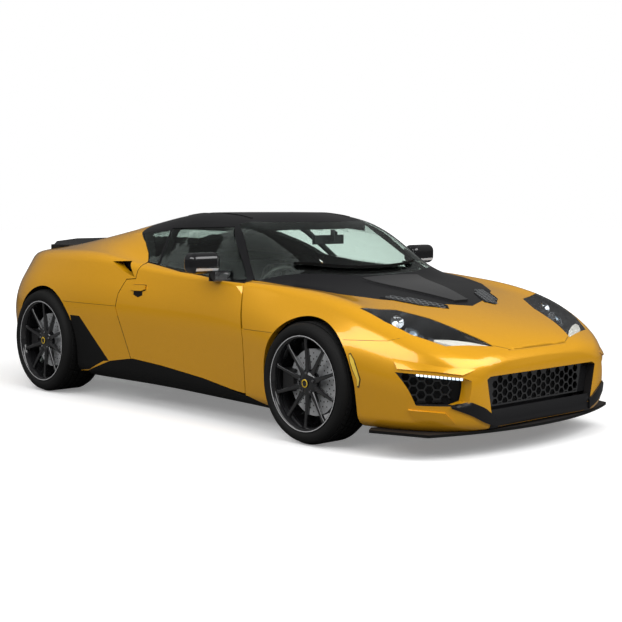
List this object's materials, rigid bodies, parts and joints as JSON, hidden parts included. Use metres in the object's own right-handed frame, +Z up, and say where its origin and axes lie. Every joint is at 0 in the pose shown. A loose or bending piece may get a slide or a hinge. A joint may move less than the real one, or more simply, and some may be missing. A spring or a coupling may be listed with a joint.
{
  "type": "two-door mid-engined coupe car",
  "caption": "Low two-door coupe with opening doors, rear lid, steered front wheels and free-turning wheels on alloy rims.",
  "frame": {"origin": "on the ground, midway between the axles and the sides", "axes": "+X forward, +Y to the car's left, +Z up"},
  "size_m": [4.394, 2.02, 1.1999],
  "materials": {
    "paint": "metallic gloss",
    "black_panel": "gloss",
    "roof_black": "satin",
    "black_trim": "satin",
    "glass": "clear",
    "lens": "clear",
    "lamp_red": "gloss",
    "tyre": "moulded",
    "rim": "gloss black",
    "disc": "machined",
    "chassis": "satin",
    "steel": "brushed",
    "engine": "cast",
    "leather": "grained",
    "plastic": "grained"
  },
  "bodies": {
    "body": {"arch_liners": "black_trim", "bonnet_panel": "black_panel", "cabin_frame": "black_trim", "cabin_mirror": "plastic", "centre_console": "plastic", "dashboard": "plastic", "diffuser": "black_trim", "engine": "engine", "exhaust": "steel", "floor_tub": "chassis", "front_bumper": "paint", "front_clam": "paint", "front_splitter": "black_trim", "front_suspension": "steel", "headlamp_lenses": "lens", "headlamp_units": "black_trim", "main_grille": "black_trim", "quarter_windows": "glass", "rear_bumper": "paint", "rear_clam": "paint", "rear_suspension": "steel", "rear_uprights": "chassis", "roof_panel": "roof_black", "seats": "leather", "side_grilles": "black_trim", "side_inserts": "black_trim", "side_intakes": "black_trim", "side_panels": "paint", "side_skirts": "black_trim", "steering_wheel": "leather", "subframes": "chassis", "tail_lamps": "lamp_red", "tail_panel": "black_panel", "windscreen": "glass"},
    "front_left_wheel": {"front_left_disc": "disc", "front_left_rim": "rim", "front_left_tyre": "tyre"},
    "front_right_wheel": {"front_right_disc": "disc", "front_right_rim": "rim", "front_right_tyre": "tyre"},
    "left_door": {"left_door": "paint", "left_door_glass": "glass", "left_door_mirror": "black_trim"},
    "left_knuckle": {"left_knuckle": "chassis"},
    "rear_left_wheel": {"rear_left_disc": "disc", "rear_left_rim": "rim", "rear_left_tyre": "tyre"},
    "rear_right_wheel": {"rear_right_disc": "disc", "rear_right_rim": "rim", "rear_right_tyre": "tyre"},
    "tailgate": {"rear_window": "glass", "tail_spoiler": "black_panel", "tailgate": "paint"},
    "right_door": {"right_door": "paint", "right_door_glass": "glass", "right_door_mirror": "black_trim"},
    "right_knuckle": {"right_knuckle": "chassis"}
  },
  "joints": [
    {"name": "right_door_hinge", "type": "hinge", "parent": "body", "child": "right_door", "pos_m": [0.725, -0.88, 0.5], "axis": [0, 0, 1], "range_deg": [0, 65]},
    {"name": "left_door_hinge", "type": "hinge", "parent": "body", "child": "left_door", "pos_m": [0.725, 0.88, 0.5], "axis": [0, 0, -1], "range_deg": [0, 65]},
    {"name": "tailgate_hinge", "type": "hinge", "parent": "body", "child": "tailgate", "pos_m": [-0.655, 0, 1.18], "axis": [0, 1, 0], "range_deg": [0, 60]},
    {"name": "right_steer", "type": "hinge", "parent": "body", "child": "right_knuckle", "pos_m": [1.2875, -0.742, 0.3242], "axis": [0, 0, 1], "range_deg": [-30, 30]},
    {"name": "left_steer", "type": "hinge", "parent": "body", "child": "left_knuckle", "pos_m": [1.2875, 0.742, 0.3242], "axis": [0, 0, 1], "range_deg": [-30, 30]},
    {"name": "front_right_spin", "type": "hinge", "parent": "right_knuckle", "child": "front_right_wheel", "pos_m": [1.2875, -0.782, 0.3242], "axis": [0, 1, 0], "continuous": true},
    {"name": "front_left_spin", "type": "hinge", "parent": "left_knuckle", "child": "front_left_wheel", "pos_m": [1.2875, 0.782, 0.3242], "axis": [0, 1, 0], "continuous": true},
    {"name": "rear_right_spin", "type": "hinge", "parent": "body", "child": "rear_right_wheel", "pos_m": [-1.2875, -0.7875, 0.3415], "axis": [0, 1, 0], "continuous": true},
    {"name": "rear_left_spin", "type": "hinge", "parent": "body", "child": "rear_left_wheel", "pos_m": [-1.2875, 0.7875, 0.3415], "axis": [0, 1, 0], "continuous": true}
  ],
  "couplings": [
    {"joint": "left_steer", "follows": "right_steer", "ratio": 1}
  ]
}
